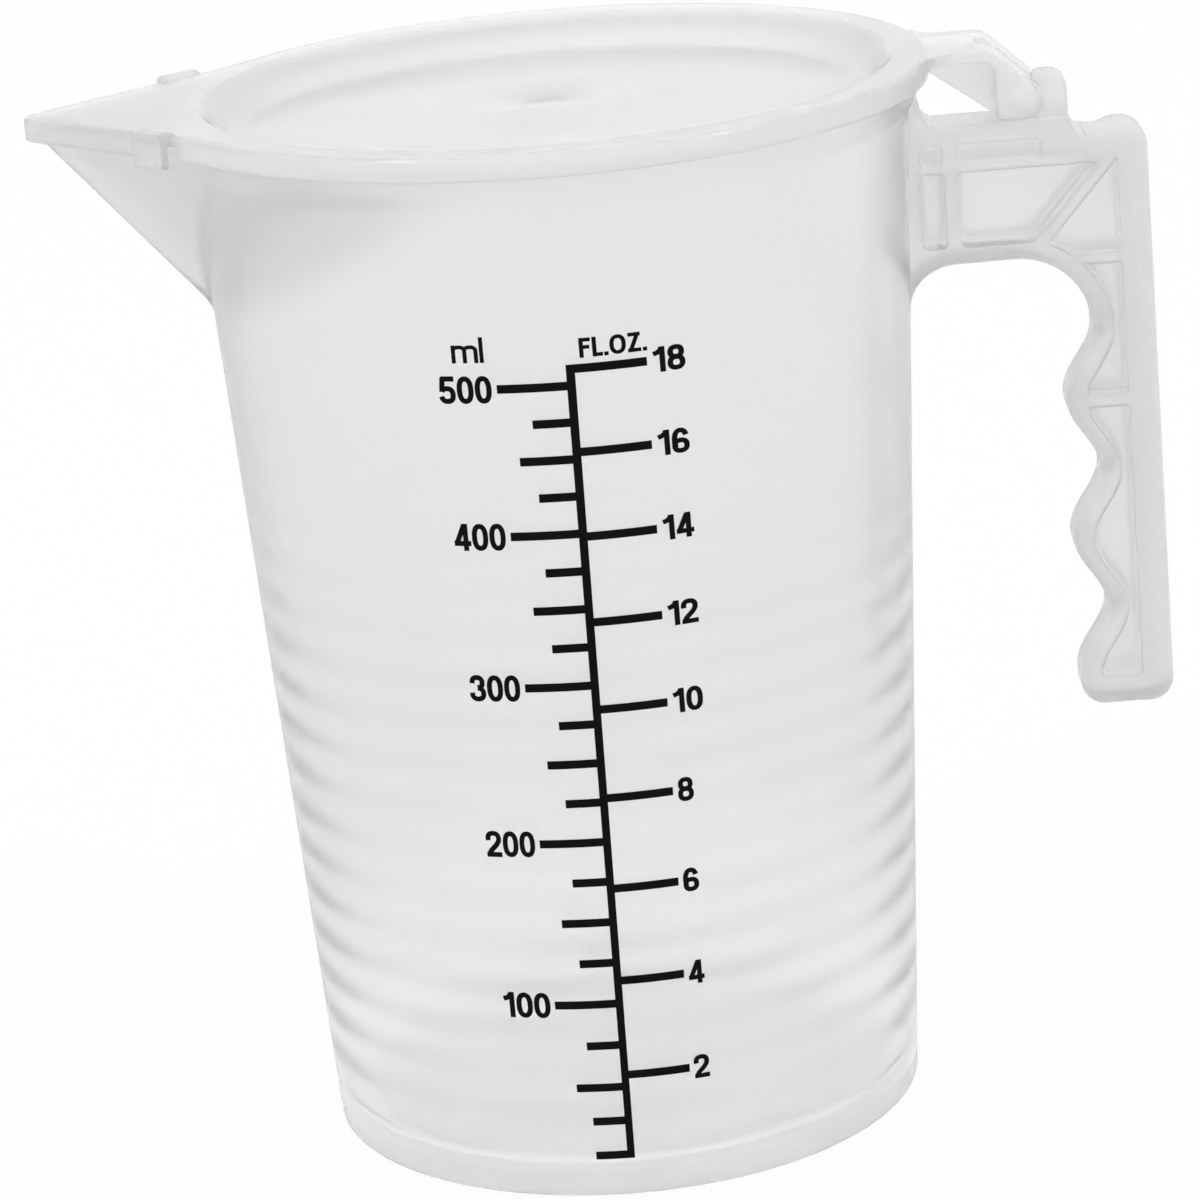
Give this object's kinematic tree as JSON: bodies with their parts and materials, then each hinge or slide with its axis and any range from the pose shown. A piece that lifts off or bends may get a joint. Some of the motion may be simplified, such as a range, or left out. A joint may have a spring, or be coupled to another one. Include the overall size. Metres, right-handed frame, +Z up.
{
  "type": "measuring jug with hinged lid",
  "caption": "Tapered translucent measuring jug with a V-shaped spout, a finger-grip handle, a hinged lid whose beak covers the spout, and a printed scale in millilitres and fluid ounces.",
  "frame": {"origin": "middle of the base, on the surface that the jug stands on", "axes": "+Z up along the jug's axis, +X towards the handle and the lid's hinge, -X towards the spout, -Y towards the printed scale"},
  "size_m": [0.139, 0.095, 0.135],
  "materials": {
    "milky_plastic": "milky translucent, satin",
    "black_ink": "flat black print"
  },
  "bodies": {
    "jug": {"jug_body": "milky_plastic", "scale_print": "black_ink"},
    "cover": {"lid": "milky_plastic"}
  },
  "joints": [
    {"name": "lid_hinge", "type": "hinge", "parent": "jug", "child": "cover", "pos_m": [0.05904, 0, 0.1279], "axis": [0, 1, 0], "range_deg": [0, 145]}
  ]
}
